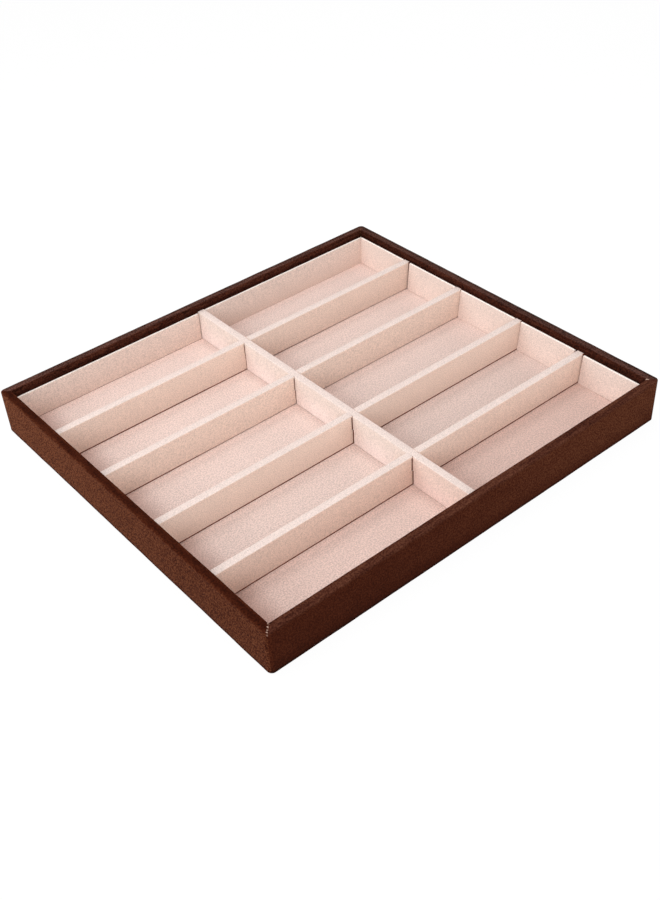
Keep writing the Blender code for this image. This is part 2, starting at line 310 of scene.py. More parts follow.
class Term:
    """One output of a shader tree. Arithmetic on it adds Math nodes to the tree."""

    def __init__(self, shader, socket):
        self.shader = shader
        self.socket = socket

    def _math(self, operation, *terms):
        settings = {"operation": operation}
        return self.shader.node("ShaderNodeMath", settings, dict(enumerate(terms)))

    def __add__(self, other):
        return self._math("ADD", self, other)

    def __sub__(self, other):
        return self._math("SUBTRACT", self, other)

    def __rsub__(self, other):
        return self._math("SUBTRACT", other, self)

    def __mul__(self, other):
        return self._math("MULTIPLY", self, other)

    def __abs__(self):
        return self._math("ABSOLUTE", self)

    def most(self, other):
        return self._math("MAXIMUM", self, other)

    __radd__ = __add__
    __rmul__ = __mul__


class Shader:
    """The node tree of a material or a world, empty at first."""

    def __init__(self, owner):
        owner.use_nodes = True
        self.tree = owner.node_tree
        self.tree.nodes.clear()

    def node(self, kind, settings=None, sockets=None, output=0):
        """Adds a node, sets its settings and then its sockets, and gives one of its outputs."""
        node = self.tree.nodes.new(kind)
        for name, value in (settings or {}).items():
            setattr(node, name, value)
        for name, value in (sockets or {}).items():
            if isinstance(value, Term):
                self.tree.links.new(value.socket, node.inputs[name])
            else:
                node.inputs[name].default_value = value
        return Term(self, node.outputs[output]) if node.outputs else None

    def place(self):
        return self.node("ShaderNodeTexCoord", output="Object")

    def split(self, vector):
        """The three parts of a vector."""
        first = self.node("ShaderNodeSeparateXYZ", None, {0: vector})
        return [Term(self, first.socket.node.outputs[index]) for index in range(3)]

    def stretched(self, vector, turn, scale):
        """A place turned and then stretched, for a pattern with a direction."""
        turned = self.node("ShaderNodeMapping", None, {"Vector": vector, "Rotation": turn})
        return self.node("ShaderNodeMapping", None, {"Vector": turned, "Scale": scale})

    def noise(self, vector, size, detail=2.0, roughness=0.5):
        """Noise from 0 to 1 whose blobs are about as large as the size."""
        sockets = {"Vector": vector, "Scale": 1 / size, "Detail": detail, "Roughness": roughness}
        return self.node("ShaderNodeTexNoise", {"noise_dimensions": "3D"}, sockets)

    def ramp(self, factor, low, high):
        """0 up to low, 1 from high, and smooth between them."""
        sockets = {"Value": factor, "From Min": low, "From Max": high}
        return self.node("ShaderNodeMapRange", {"interpolation_type": "SMOOTHSTEP"}, sockets)

    def mix(self, factor, first, second, blend="MIX"):
        """Two colours mixed. Each is a displayed colour or the result of another mix."""
        pair = [one if isinstance(one, Term) else (*linear(one), 1) for one in (first, second)]
        settings = {"data_type": "RGBA", "blend_type": blend}
        return self.node("ShaderNodeMix", settings, {0: factor, 6: pair[0], 7: pair[1]}, output=2)

    def toned(self, base, tone):
        """A colour times a tone that varies round 1."""
        sockets = {0: base if isinstance(base, Term) else linear(base), "Scale": tone}
        return self.node("ShaderNodeVectorMath", {"operation": "SCALE"}, sockets)

    def bump(self, height, depth, strength=1.0):
        sockets = {"Height": height, "Distance": depth, "Strength": strength}
        return self.node("ShaderNodeBump", None, sockets)

    def cloth(self, base, roughness, normal, sheen=0.0, sheen_tint=(1, 1, 1)):
        """Ends a material with a matt surface."""
        sockets = {
            "Base Color": base,
            "Roughness": roughness,
            "Normal": normal,
            "Specular IOR Level": 0.03,
            "Sheen Weight": sheen,
            "Sheen Roughness": 0.5,
            "Sheen Tint": (*linear(sheen_tint), 1),
        }
        surface = self.node("ShaderNodeBsdfPrincipled", None, sockets)
        self.node("ShaderNodeOutputMaterial", None, {"Surface": surface})


def new_material(name):
    material = bpy.data.materials.new(name)
    return material, Shader(material)


def cross_bands():
    """Where along Y the near face of each cross divider stands, with a margin before it."""
    return [(face - SLIT_START, face + SLIT_DEPTH) for face in CROSS_FACES]


def between(factor, first, second):
    """The first value where a factor is 0, the second where it is 1."""
    return first + factor * (second - first)


def varied(*patterns):
    """A tone round 1 that each pattern, which goes round 0.5, takes up and down by its share."""
    return 1 + sum(share * (pattern - 0.5) for pattern, share in patterns)


def on_right(shader, across):
    """0 left of the long divider and 1 right of it."""
    return shader.ramp(across, LONG_LOW.x, LONG_HIGH.x)


def from_row(shader, along, row):
    """0 up to the middle of a row of compartments and 1 behind it. Rows count from the front."""
    faces = (LINER_HIGH.y, *CROSS_FACES, BACK_FACE)
    middle = (faces[row - 1] + faces[row]) / 2
    return shader.ramp(along, middle - ROW_BLUR, middle + ROW_BLUR)


def microfibre(name, axis, light_and_grain):
    """Short brown nap, with light and shade painted on each face of a strip and on its rim."""
    colours = bpy.context.scene.tray_colours
    material, shader = new_material(name)
    place = shader.place()
    grain = shader.ramp(shader.noise(place, NAP_GRAIN, 2, 0.6), *GRAIN_RANGE)
    mottle = shader.noise(place, NAP_MOTTLE, 3, 0.6)
    along = (1, 0.12, 1) if axis == X else (0.12, 1, 1)
    lengthways = shader.stretched(place, (0, 0, 0), along)
    streak = shader.ramp(shader.noise(lengthways, NAP_STREAK, 2), *STREAK_RANGE)
    # The third value is the light and shade painted on the nap round the strip.
    on_rim, inside, lean = nap_lean(shader, place, axis, light_and_grain, mottle)
    specks = light_and_grain["grain"] * between(on_rim, 1, light_and_grain["rim_grain"])
    tone = (lean * varied((grain, specks), (mottle, 0.5), (streak, 0.5 * on_rim))).most(NAP_DARKEST)
    nap = shader.mix(shader.ramp(tone, *NAP_RANGE), colours.microfibre_deep, colours.microfibre)
    # Where the paler, greyer brown is painted on the rim, fully on the right and back walls.
    paled = on_rim * between(inside, 1, 0.3) * light_and_grain["paled"]
    nap = shader.toned(shader.mix(paled, nap, colours.microfibre_dust), tone)
    base = shader.mix(frayed(shader, place, on_rim), nap, colours.microfibre_back)
    bump = shader.bump(0.7 * grain + 0.3 * mottle, NAP_DEPTH, 0.5)
    shader.cloth(base, between(grain, *NAP_ROUGHNESS), bump, 0.03, (0.85, 0.62, 0.52))
    return material


def nap_lean(shader, place, axis, light_and_grain, mottle):
    """Where a strip's rim and inside are, and the light and shade painted on the nap at each place round it.
    """
    parts = shader.split(place)
    wander = light_and_grain["wander"] * (mottle - 0.5)
    inset = CAD_HIGH[axis] - abs(parts[axis])
    drop = CAD_HIGH.z - parts[Z]
    wall_inset = LINER_INSET - bpy.context.scene.tray_cloth.seat_gap
    on_rim = shader.ramp(inset - drop + wander, *light_and_grain["turn"])
    outer = (1 - shader.ramp(inset + wander, *RIM_EDGE)) * on_rim
    inner = shader.ramp(inset + 0.3 * wander, wall_inset - light_and_grain["inner_reach"], wall_inset)
    deep = shader.ramp(inset, wall_inset - DEEP_INSET, wall_inset) * shader.ramp(drop, *DEEP_DROP)
    foot = 1 - shader.ramp(parts[Z], *STRIP_FOOT)
    low = 1 - shader.ramp(parts[Z], *STRIP_LOW)
    drift = between(shader.ramp(parts[1 - axis], *DRIFT_REACH), *light_and_grain["drift"])
    # Painted light and shade on the side: each wall's own tone, lighter towards one end of the front and
    # left walls, darker at every wall's foot, darker low on the front wall and lighter low on the left one.
    side = light_and_grain["side"] * drift * between(foot, 1, 0.55) * between(low, 1, light_and_grain["low"])
    # Painted shade at the rim's outer band and inner fold of the right and back walls and down behind a
    # liner, a painted highlight at the inner fold of the left wall's rim, and the rim's own painted tone,
    # darkest on the left.
    edges = between(outer, 1, light_and_grain["outer"]) * between(inner, 1, light_and_grain["inner"]) * between(deep, 1, 0.6)
    return on_rim, inner, between(on_rim, side, light_and_grain["rim"]) * edges


def frayed(shader, place, on_rim):
    """Pale flecks of backing along the near left mitre, and one at the inner end of the near right mitre."""
    across, along, _ = shader.split(place)
    from_side = CAD_HIGH.x - abs(across)
    from_end = CAD_HIGH.y - abs(along)
    at_mitre = 1 - shader.ramp(abs(from_side - from_end), *FRAY_REACH)
    broken = shader.ramp(shader.noise(place, FRAY_GRAIN, 1), *FLECK_RANGE)
    flecks = between(on_right(shader, across), broken, shader.ramp(from_side, *FRAY_INNER_END))
    return at_mitre * (1 - from_row(shader, along, 3)) * flecks * on_rim * 0.8


def raw_edge():
    """Cut edge of the microfibre, where its woven backing shows."""
    material, shader = new_material("microfibre_raw_edge")
    weave = shader.noise(shader.place(), WEAVE, 2)
    base = shader.toned(bpy.context.scene.tray_colours.microfibre, 0.9 * varied((weave, 0.9)))
    shader.cloth(base, between(weave, *PILE_ROUGHNESS), shader.bump(weave, FIBRE_DEPTH))
    return material


def suede(name, pile, turn=EDGE_TURN, light=None, warmth=(), foot=0.0, axis=X, shaded=()):
    """Fine short pile in the colours of its foot, its head and its edge.

    Its faces turn into edges with their normals, and the edge colour is painted light on faces that look up.
    The change from foot to head is painted light and shade, the faces are as light as given in painted light
    and as warm as given in painted light reflected from the front wall, and it is brown with painted shade
    up to the height of its foot and in the shaded bands along an axis.
    """
    colours = bpy.context.scene.tray_colours
    material, shader = new_material(name)
    place = shader.place()
    parts = shader.split(place)
    up = shader.split(shader.node("ShaderNodeNewGeometry", output="Normal"))[Z]
    # The edge colour paints light on the faces that look up.
    on_edge = shader.ramp(up, *turn)
    grain = shader.noise(place, PILE_GRAIN, 2, 0.6)
    cloud = shader.noise(place, PILE_CLOUD, 2)
    brush = shader.noise(shader.stretched(place, (0, 0, 0), (1, 1, 0.2)), PILE_BRUSH, 2)
    shine = light(shader, *parts[:2]) if light else 1
    tone = varied((grain, 1.0), (cloud, 0.06), (brush, 0.08)) * between(on_edge, shine, 1)
    foot_colour, head_colour, edge_colour = (getattr(colours, part) for part in pile)
    face = shader.mix(shader.ramp(parts[Z], *PILE_REACH), foot_colour, head_colour)
    if warmth:
        warm = front_warmth(shader, *parts[:2], *warmth)
        face = shader.mix(warm, face, colours.front_tint, "MULTIPLY")
    base = shader.toned(shader.mix(on_edge, face, edge_colour), tone)
    # Brown painted shade up to the height of the foot, as strong as the foot shade gives.
    raw = (1 - shader.ramp(parts[Z], foot, foot + BAND_BLUR)) * foot_shade(shader, *parts[:2])
    shade = raw.most(in_bands(shader, parts[axis], shaded)) * (1 - on_edge)
    base = shader.mix(shade, base, colours.suede_shade)
    bump = shader.bump(0.6 * grain + 0.4 * brush, NAP_DEPTH, 0.4)
    shader.cloth(base, between(grain, *PILE_ROUGHNESS), bump, 0.05)
    return material


def front_warmth(shader, across, along, left, right):
    """How much light reflected from the brown front wall is painted on the row next to it, left and right of
    the long divider.
    """
    in_front = 1 - shader.ramp(along, CROSS_LOW.y + SLIT_START, CROSS_HIGH.y)
    return in_front * between(on_right(shader, across), left, right)


def foot_shade(shader, across, along):
    """How brown a divider's foot is painted as shade. It fades to the right on the two farther cross
    dividers.
    """
    third = between(shader.ramp(across, *THIRD_FADE), 1, 0.25)
    fourth = between(shader.ramp(across, *FOURTH_FADE), 1, 0.1)
    farther = from_row(shader, along, 3) * (1 - from_row(shader, along, 5))
    return between(farther, 1, between(from_row(shader, along, 4), third, fourth))


def cross_light(shader, across, along):
    """Painted light: the nearest cross divider is darker in its left half and lighter in its right half."""
    return between(from_row(shader, along, 2), between(on_right(shader, across), 0.95, 1.05), 1)


def long_light(shader, _, along):
    """Painted light: the long divider is darker towards the front."""
    return between(shader.ramp(along, *LONG_LIGHT_REACH), 0.945, 1)


def side_light(shader, _, along):
    """Painted light: the side liners are lighter in the last row."""
    return between(shader.ramp(along, *SIDE_LIGHT_REACH), 1, 1.03)


def in_bands(shader, value, bands):
    """1 where a value lies in one of some bands, and 0 between them."""
    return sum(
        shader.ramp(value, low, low + BAND_BLUR) * (1 - shader.ramp(value, high - BAND_BLUR, high))
        for low, high in bands
    )


def floor_suede():
    """Coarser suede whose pile stands in small tufts, with painted light and shade, brown where the dividers
    stand.
    """
    colours = bpy.context.scene.tray_colours
    material, shader = new_material("floor_pile")
    place = shader.place()
    across, along, _ = shader.split(place)
    tufts = shader.ramp(shader.noise(place, FLOOR_TUFT, 1, 0.5), *TUFT_RANGE)
    grain = shader.noise(place, FLOOR_GRAIN, 2)
    cloud = shader.noise(place, WIDE_CLOUD, 2)
    tone = varied((tufts, 0.32), (grain, 0.06), (cloud, 0.03)) * floor_light(shader, across, along)
    pile = shader.toned(colours.suede_floor, tone)
    warm = front_warmth(shader, across, along, 0.5, 0.9)
    pile = shader.mix(warm, pile, colours.front_tint, "MULTIPLY")
    # Painted shadows: brown at the left wall and just past the long divider.
    at_left = LEFT_SHADE * (1 - shader.ramp(across, *SHADED_LEFT))
    at_long = MIDDLE_SHADE * on_right(shader, across) * (1 - shader.ramp(across, *SHADED_MIDDLE))
    base = shader.mix(at_left + at_long, pile, colours.suede_shade)
    # Painted shade in bands at the cross dividers' near faces and under the back liners, seen in the gaps
    # below them.
    pressed = in_bands(shader, along, cross_bands() + [(BACK_FACE, CAD_HIGH.y)])
    base = shader.mix(pressed * foot_shade(shader, across, along), base, colours.suede_shade)
    bump = shader.bump(0.75 * tufts + 0.25 * grain, TUFT_DEPTH, 0.6)
    shader.cloth(base, between(grain, *PILE_ROUGHNESS), bump, 0.05)
    return material


def floor_light(shader, across, along):
    """How light the floor is painted: lightest just before a divider, and at the back."""
    right = on_right(shader, across)
    # Painted light in a band just before each divider and the back liners.
    upright = sum(
        shader.ramp(along, face - DIVIDER_LIGHT_REACH, face) * (1 - shader.ramp(along, face, face + BAND_BLUR))
        for face in (*CROSS_FACES, BACK_FACE)
    )
    left_half = between(shader.ramp(across, *LEFT_HALF), 1.03, 0.98)
    first_row = between(right, 0.98, 0.94)
    rows = between(shader.ramp(along, *FLOOR_ROWS), first_row, 1.035)
    right_end = between(shader.ramp(across, *RIGHT_END), 1, 0.95)
    return between(upright, 1, 1.28) * between(right, left_half, 1) * rows * right_end


def pressed_board(name, base_colour):
    """Pulp board with coarse fibres and specks."""
    material, shader = new_material(f"{name}_surface")
    place = shader.place()
    slanting = shader.stretched(place, (0.4, 0.3, 0.7), (1, 0.3, 1))
    fibres = shader.noise(slanting, BOARD_FIBRE, 4, 0.6)
    specks = shader.ramp(shader.noise(place, BOARD_SPECK, 1), *SPECK_RANGE)
    cloud = shader.noise(place, WIDE_CLOUD, 2)
    base = shader.toned(base_colour, varied((fibres, 0.25), (cloud, 0.15)) - 0.2 * specks)
    bump = shader.bump(fibres - 0.5 * specks, FIBRE_DEPTH)
    shader.cloth(base, between(fibres, *BOARD_ROUGHNESS), bump)
    return material


def underside_felt():
    """Thin brown felt of matted fibres."""
    material, shader = new_material("matted_felt")
    place = shader.place()
    mat = shader.noise(shader.stretched(place, (0, 0, 0.8), (1, 0.4, 1)), FELT_FIBRE, 4, 0.7)
    cloud = shader.noise(place, WIDE_CLOUD, 2)
    base = shader.toned(bpy.context.scene.tray_colours.felt, varied((mat, 0.4), (cloud, 0.2)))
    shader.cloth(base, between(mat, *PILE_ROUGHNESS), shader.bump(mat, TUFT_DEPTH))
    return material


def start_block(name, low, high):
    """Adds a cube that fills the box between two corners."""
    bpy.ops.object.select_all(action="DESELECT")
    bpy.ops.mesh.primitive_cube_add(size=1, location=(low + high) / 2, scale=high - low)
    bpy.ops.object.transform_apply()
    block = bpy.context.object
    block.name = block.data.name = name
    return block


def pick(piece):
    """Selects one object alone and makes it the active one."""
    bpy.ops.object.select_all(action="DESELECT")
    piece.select_set(True)
    bpy.context.view_layer.objects.active = piece


def copied(piece, name):
    """A copy with a mesh of its own."""
    pick(piece)
    bpy.ops.object.duplicate()
    copy = bpy.context.object
    copy.name = copy.data.name = name
    return copy


def choose(kind, test):
    """Selects, of the object in edit mode, only the vertices, edges or faces that pass a test."""
    bpy.ops.mesh.select_mode(type=kind)
    bpy.ops.mesh.select_all(action="DESELECT")
    mesh = bpy.context.object.data
    shape = bmesh.from_edit_mesh(mesh)
    parts = {"VERT": shape.verts, "EDGE": shape.edges, "FACE": shape.faces}[kind]
    for part in parts:
        if test(part):
            part.select_set(True)
    shape.select_flush_mode()
    bmesh.update_edit_mesh(mesh)


def runs_along(edge, axis):
    first, last = (vert.co for vert in edge.verts)
    return abs((last - first).normalized()[axis]) > ALIGNED


def is_upright(edge):
    return runs_along(edge, Z)


def is_at(part, axis, value):
    """Whether all of an edge or a face lies at one coordinate."""
    return all(abs(vert.co[axis] - value) < MERGE_DISTANCE for vert in part.verts)


def inset_of(vert):
    """How far a point is inside the tray's upright faces."""
    return min(CAD_HIGH.x - abs(vert.co.x), CAD_HIGH.y - abs(vert.co.y))


def refine_along(axis, step):
    """Cuts the long edges that run along an axis into equal steps."""
    shape = bmesh.from_edit_mesh(bpy.context.object.data)
    longest = max(edge.calc_length() for edge in shape.edges if runs_along(edge, axis))
    choose("EDGE", lambda edge: runs_along(edge, axis) and edge.calc_length() > longest / 2)
    bpy.ops.mesh.subdivide(number_cuts=round(longest / step))


def apply_modifier(piece, kind, **settings):
    """Adds a modifier, sets it and applies it."""
    pick(piece)
    modifier = piece.modifiers.new(kind.title(), kind)
    for name, value in settings.items():
        setattr(modifier, name, value)
    bpy.ops.object.modifier_apply(modifier=modifier.name)


def ripple(piece, share=1.0):
    """Lets the surface wander in and out a little, as fabric on a board does."""
    cloth = bpy.context.scene.tray_cloth
    texture = bpy.data.textures.new(f"{piece.name} ripple", "CLOUDS")
    texture.noise_scale = cloth.ripple_size
    texture.noise_depth = 1
    reach = {"strength": cloth.ripple * share, "mid_level": 0.5}
    apply_modifier(piece, "DISPLACE", texture=texture, texture_coords="LOCAL", **reach)


def finish_piece(piece, materials, node, body):
    """Smooths a piece, gives it its materials and ties it to the frame."""
    pick(piece)
    bpy.ops.object.shade_smooth_by_angle(angle=SMOOTH_ANGLE)
    for index, material in enumerate(materials):
        if index < len(piece.data.materials):
            piece.data.materials[index] = material
        else:
            piece.data.materials.append(material)
    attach(piece, body)
    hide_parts(node)


def make_skin():
    """The tray's whole outer sheet: sides, rim, insides, and the margin turned in below."""
    cloth = bpy.context.scene.tray_cloth
    foot = cloth.foot
    skin = start_block("tray_skin", Vector((CAD_LOW.x, CAD_LOW.y, foot)), CAD_HIGH)
    bpy.ops.object.mode_set(mode="EDIT")
    choose("EDGE", is_upright)
    bpy.ops.mesh.bevel(offset=cloth.corner, segments=CORNER_STEPS, affect="EDGES")
    rim = LINER_INSET - cloth.seat_gap
    for level, width in ((CAD_HIGH.z, rim), (foot, STRIP_TURN_IN)):
        choose("FACE", lambda face: is_at(face, Z, level))
        bpy.ops.mesh.inset(thickness=cloth.corner)
        bpy.ops.mesh.remove_doubles(threshold=ARC_MERGE_DISTANCE)
        choose("FACE", lambda face: is_at(face, Z, level) and len(face.verts) == 4
               and min(map(inset_of, face.verts)) > cloth.corner - ARC_MERGE_DISTANCE)
        bpy.ops.mesh.inset(thickness=width - cloth.corner)
        if level > foot:
            down = {"value": (0, 0, FLOOR_LOW.z - level)}
            bpy.ops.mesh.extrude_region_move(TRANSFORM_OT_translate=down)
        bpy.ops.mesh.delete(type="FACE")
    choose("EDGE", lambda edge: is_rim_fold(edge, rim))
    bpy.ops.mesh.bevel(offset=cloth.rim_fold, segments=FOLD_STEPS, affect="EDGES")
    choose("EDGE", lambda edge: is_at(edge, Z, foot) and all(map(on_outside, edge.verts)))
    bpy.ops.mesh.bevel(offset=cloth.foot_fold, segments=FOLD_STEPS, affect="EDGES")
    for axis in (X, Y):
        refine_along(axis, STEP_LENGTH)
    bpy.ops.object.mode_set(mode="OBJECT")
    return skin


def is_rim_fold(edge, rim):
    """Whether the sheet folds over the rim at an edge, round the outside or at the inner wall."""
    outside = all(map(on_outside, edge.verts))
    inside = all(abs(inset_of(vert) - rim) < MERGE_DISTANCE for vert in edge.verts)
    return is_at(edge, Z, CAD_HIGH.z) and (outside or inside)


def on_outside(vert):
    """Whether a point is on the tray's outline, rounded corners included."""
    radius = bpy.context.scene.tray_cloth.corner
    past = [max(0, abs(vert.co[axis]) - CAD_HIGH[axis] + radius) for axis in (X, Y)]
    return abs(math.hypot(*past) - radius) < MERGE_DISTANCE


class TRAY_OT_microfibre_strips(bpy.types.Operator):
    """Folds a microfibre strip round each wall board and cuts its ends to a mitre"""

    bl_idname = "tray.microfibre_strips"
    bl_label = "Microfibre strips"

    # Light and shade painted on each wall's nap: how light it is painted on its side, low on its side, on
    # its rim, on the rim's outer band and inside, and how far the inside reaches up over the rim. Drift is
    # how the side's painted light changes from one end of the wall to the other, turn is where the side's
    # tone gives way to the rim's, and it may wander so far. Paled is how much of the paler, greyer brown is
    # painted on the rim, grain how strong the grain is, and rim grain the rim's share of it.
    BRUSHED = {
        "front": {
            "side": 0.66, "low": 0.8, "rim": 0.83, "outer": 1.0, "inner": 1.0, "inner_reach": 0.001,
            "drift": (0.9, 1.52), "turn": (-0.0028, 0.0008), "wander": 0.004,
            "paled": 0.3, "grain": 0.8, "rim_grain": 1.0,
        },
        "right": {
            "side": 0.8, "low": 1.0, "rim": 0.8, "outer": 0.72, "inner": 0.68, "inner_reach": 0.0008,
            "drift": (1.0, 1.0), "turn": (-0.0010, 0.0005), "wander": 0.003,
            "paled": 1.0, "grain": 1.0, "rim_grain": 1.0,
        },
        "back": {
            "side": 0.8, "low": 1.0, "rim": 1.0, "outer": 0.78, "inner": 0.62, "inner_reach": 0.0022,
            "drift": (1.0, 1.0), "turn": (-0.0010, 0.0005), "wander": 0.003,
            "paled": 1.0, "grain": 1.0, "rim_grain": 1.0,
        },
        "left": {
            "side": 1.03, "low": 1.08, "rim": 0.45, "outer": 1.0, "inner": 1.5, "inner_reach": 0.0022,
            "drift": (0.85, 1.18), "turn": (-0.0024, 0.0032), "wander": 0.004,
            "paled": 0.0, "grain": 1.35, "rim_grain": 0.5,
        },
    }

    def execute(self, context):
        cloth = context.scene.tray_cloth
        skin = make_skin()
        ripple(skin)
        edge = raw_edge()
        for wall, inward in WALLS.items():
            axis = Y if inward[Y] else X
            strip = copied(skin, f"{wall}_strip")
            self.cut_mitres(Vector((*inward, 0)), cloth.seam)
            apply_modifier(
                strip, "SOLIDIFY", thickness=cloth.thickness, offset=-1, use_even_offset=True,
                material_offset_rim=1,
            )
            nap = microfibre(f"microfibre_{wall}", axis, self.BRUSHED[wall])
            finish_piece(strip, (nap, edge), f"{wall}_wrap", "tray")
        bpy.data.objects.remove(skin)
        return {"FINISHED"}

    @staticmethod
    def cut_mitres(inward, seam):
        """Keeps what lies between the two diagonals at the ends of one wall."""
        bpy.ops.object.mode_set(mode="EDIT")
        for side in (-1, 1):
            along = Vector((inward.y, -inward.x, 0)) * side
            corner = CAD_HIGH * (along - inward)
            outward = (along + inward).normalized()
            bpy.ops.mesh.select_all(action="SELECT")
            bpy.ops.mesh.bisect(
                plane_co=corner - outward * seam / 2, plane_no=outward, clear_outer=True
            )
        bpy.ops.object.mode_set(mode="OBJECT")


class TRAY_OT_suede_liners(bpy.types.Operator):
    """Stands a suede faced card with a soft top edge on each stretch of wall"""

    bl_idname = "tray.suede_liners"
    bl_label = "Suede liners"

    # How much shorter than their frame solids some liners are cut, at their front or left end, at the other
    # end and at the top, and how far their feet stand off the wall
    FITS = {
        "right_liner_1": (0, 0.0004, 0.0007, 0.0026),
        "right_liner_2": (0.0011, 0, 0, 0.0026),
        "right_liner_3": (0, 0, 0, 0.0026),
        "right_liner_4": (0, 0.0011, 0, 0.0024),
        "right_liner_5": (0, 0, 0, 0.0006),
        "back_liner_left": (0, 0.0003, 0.0006, 0),
        "back_liner_right": (0, 0, 0.0002, 0.0006),
    }

    def execute(self, context):
        cloth = context.scene.tray_cloth
        for node in SIDE_LINERS + END_LINERS:
            low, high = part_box(node)
            axis = Y if node in SIDE_LINERS else X
            first, last, top, lean = self.FITS.get(node, (0, 0, 0, 0))
            low[axis] += first
            high[axis] -= last
            high.z -= top
            if lean:
                low.z -= cloth.liner_drop
            liner = start_block(f"{node}_suede", low, high)
            bpy.ops.object.mode_set(mode="EDIT")
            choose("VERT", lambda vert: abs(vert.co.z - low.z) < MERGE_DISTANCE)
            off_wall = Vector((0, 0, 0))
            off_wall[1 - axis] = math.copysign(lean, -low[1 - axis])
            bpy.ops.transform.translate(value=off_wall)
            choose("EDGE", lambda edge: is_at(edge, Z, high.z))
            bpy.ops.mesh.bevel(offset=cloth.liner_edge, segments=FOLD_STEPS, affect="EDGES")
            refine_along(axis, STEP_LENGTH)
            bpy.ops.object.mode_set(mode="OBJECT")
            ripple(liner, cloth.taut)
            pile = self.side_pile if axis == Y else self.end_pile
            finish_piece(liner, [shared(pile.__name__, pile)], node, "tray")
        return {"FINISHED"}

    @staticmethod
    def side_pile():
        """Suede with a painted highlight on its rounded top edges, and lighter in the last row by painted
        light.
        """
        pile = ("side_liner_foot", "side_liner_head", "liner_crest")
        return suede("side_pile", pile, CREST_TURN, side_light)

    @staticmethod
    def end_pile():
        """Suede with a painted highlight on its rounded top edges."""
        return suede("end_pile", ("end_liner", "end_liner", "liner_crest"), CREST_TURN)


class TRAY_OT_suede_floor(bpy.types.Operator):
    """Lays the suede faced card on the base board"""

    bl_idname = "tray.suede_floor"
    bl_label = "Suede floor"

    def execute(self, context):
        cloth = context.scene.tray_cloth
        pad = start_block("floor_suede_pad", FLOOR_LOW, FLOOR_HIGH)
        bpy.ops.object.mode_set(mode="EDIT")
        choose("EDGE", lambda edge: is_at(edge, Z, FLOOR_HIGH.z))
        bpy.ops.mesh.bevel(offset=cloth.pad_edge, segments=FOLD_STEPS, affect="EDGES")
        bpy.ops.object.mode_set(mode="OBJECT")
        finish_piece(pad, [shared("floor_pile", floor_suede)], "floor_pad", "tray")
        return {"FINISHED"}


